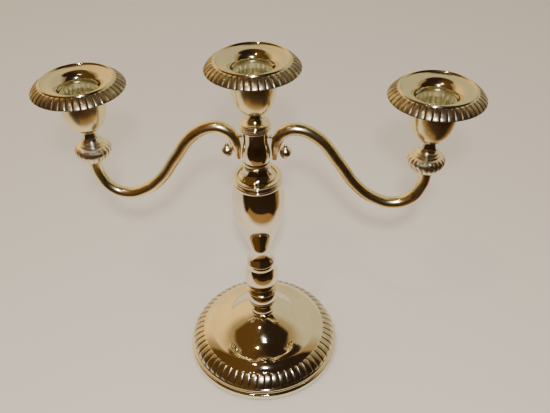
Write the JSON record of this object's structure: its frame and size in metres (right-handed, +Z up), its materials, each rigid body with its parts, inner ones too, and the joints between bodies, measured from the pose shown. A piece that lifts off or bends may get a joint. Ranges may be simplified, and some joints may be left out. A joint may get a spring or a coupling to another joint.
{
  "type": "tabletop candelabra",
  "caption": "Polished silver tabletop candelabra with a weighted round base, a vase-shaped stem, a lift-off branch with curved arms, and removable drip pans on its candle cups.",
  "frame": {"origin": "on the table, at the centre of the foot's underside", "axes": "+Z up the stem, +X along the arms towards the right-hand light, +Y away from the front"},
  "size_m": [0.3006, 0.1314, 0.2767],
  "materials": {
    "silver": "polished silver, slightly warm",
    "steel": "plain threaded steel",
    "cement": "cast filler",
    "felt": "dark green felt"
  },
  "bodies": {
    "candlestick": {"felt_pad": "felt", "base_weight": "cement", "base_shell": "silver", "rod_nut": "steel", "rod_washer": "steel", "stem_rod": "steel", "lower_knop": "silver", "fillet_ring": "silver", "upper_knop": "silver", "stem_filler": "cement", "vase_shell": "silver", "socket_liner": "silver", "socket_rim": "silver"},
    "plug": {"branch_plug": "silver", "pivot_screw": "steel"},
    "branch": {"branch_skirt": "silver", "hub_collar": "silver", "hub": "silver", "stepped_rings": "silver", "centre_bell": "silver", "centre_stud": "steel", "left_arm": "silver", "left_arm_peg": "silver", "left_curl": "silver", "left_knob": "silver", "left_bell": "silver", "left_stud": "steel", "right_arm": "silver", "right_arm_peg": "silver", "right_curl": "silver", "right_knob": "silver", "right_bell": "silver", "right_stud": "steel", "left_cup": "silver", "centre_cup": "silver", "right_cup": "silver"},
    "left_sleeve_body": {"left_sleeve": "silver"},
    "left_pan_body": {"left_pan": "silver"},
    "centre_sleeve_body": {"centre_sleeve": "silver"},
    "centre_pan_body": {"centre_pan": "silver"},
    "right_sleeve_body": {"right_sleeve": "silver"},
    "right_pan_body": {"right_pan": "silver"}
  },
  "joints": [
    {"name": "branch_lift", "type": "slide", "parent": "candlestick", "child": "plug", "axis": [0, 0, 1], "range_m": [0, 0.06]},
    {"name": "branch_turn", "type": "hinge", "parent": "plug", "child": "branch", "pos_m": [0, 0, 0.1849], "axis": [0, 0, 1], "continuous": true},
    {"name": "left_sleeve_lift", "type": "slide", "parent": "branch", "child": "left_sleeve_body", "axis": [0, 0, 1], "range_m": [0, 0.05]},
    {"name": "left_pan_turn", "type": "hinge", "parent": "left_sleeve_body", "child": "left_pan_body", "pos_m": [-0.1185, 0, 0.2514], "axis": [0, 0, 1], "continuous": true},
    {"name": "centre_sleeve_lift", "type": "slide", "parent": "branch", "child": "centre_sleeve_body", "axis": [0, 0, 1], "range_m": [0, 0.05]},
    {"name": "centre_pan_turn", "type": "hinge", "parent": "centre_sleeve_body", "child": "centre_pan_body", "pos_m": [0, 0, 0.269], "axis": [0, 0, 1], "continuous": true},
    {"name": "right_sleeve_lift", "type": "slide", "parent": "branch", "child": "right_sleeve_body", "axis": [0, 0, 1], "range_m": [0, 0.05]},
    {"name": "right_pan_turn", "type": "hinge", "parent": "right_sleeve_body", "child": "right_pan_body", "pos_m": [0.1185, 0, 0.2514], "axis": [0, 0, 1], "continuous": true}
  ]
}
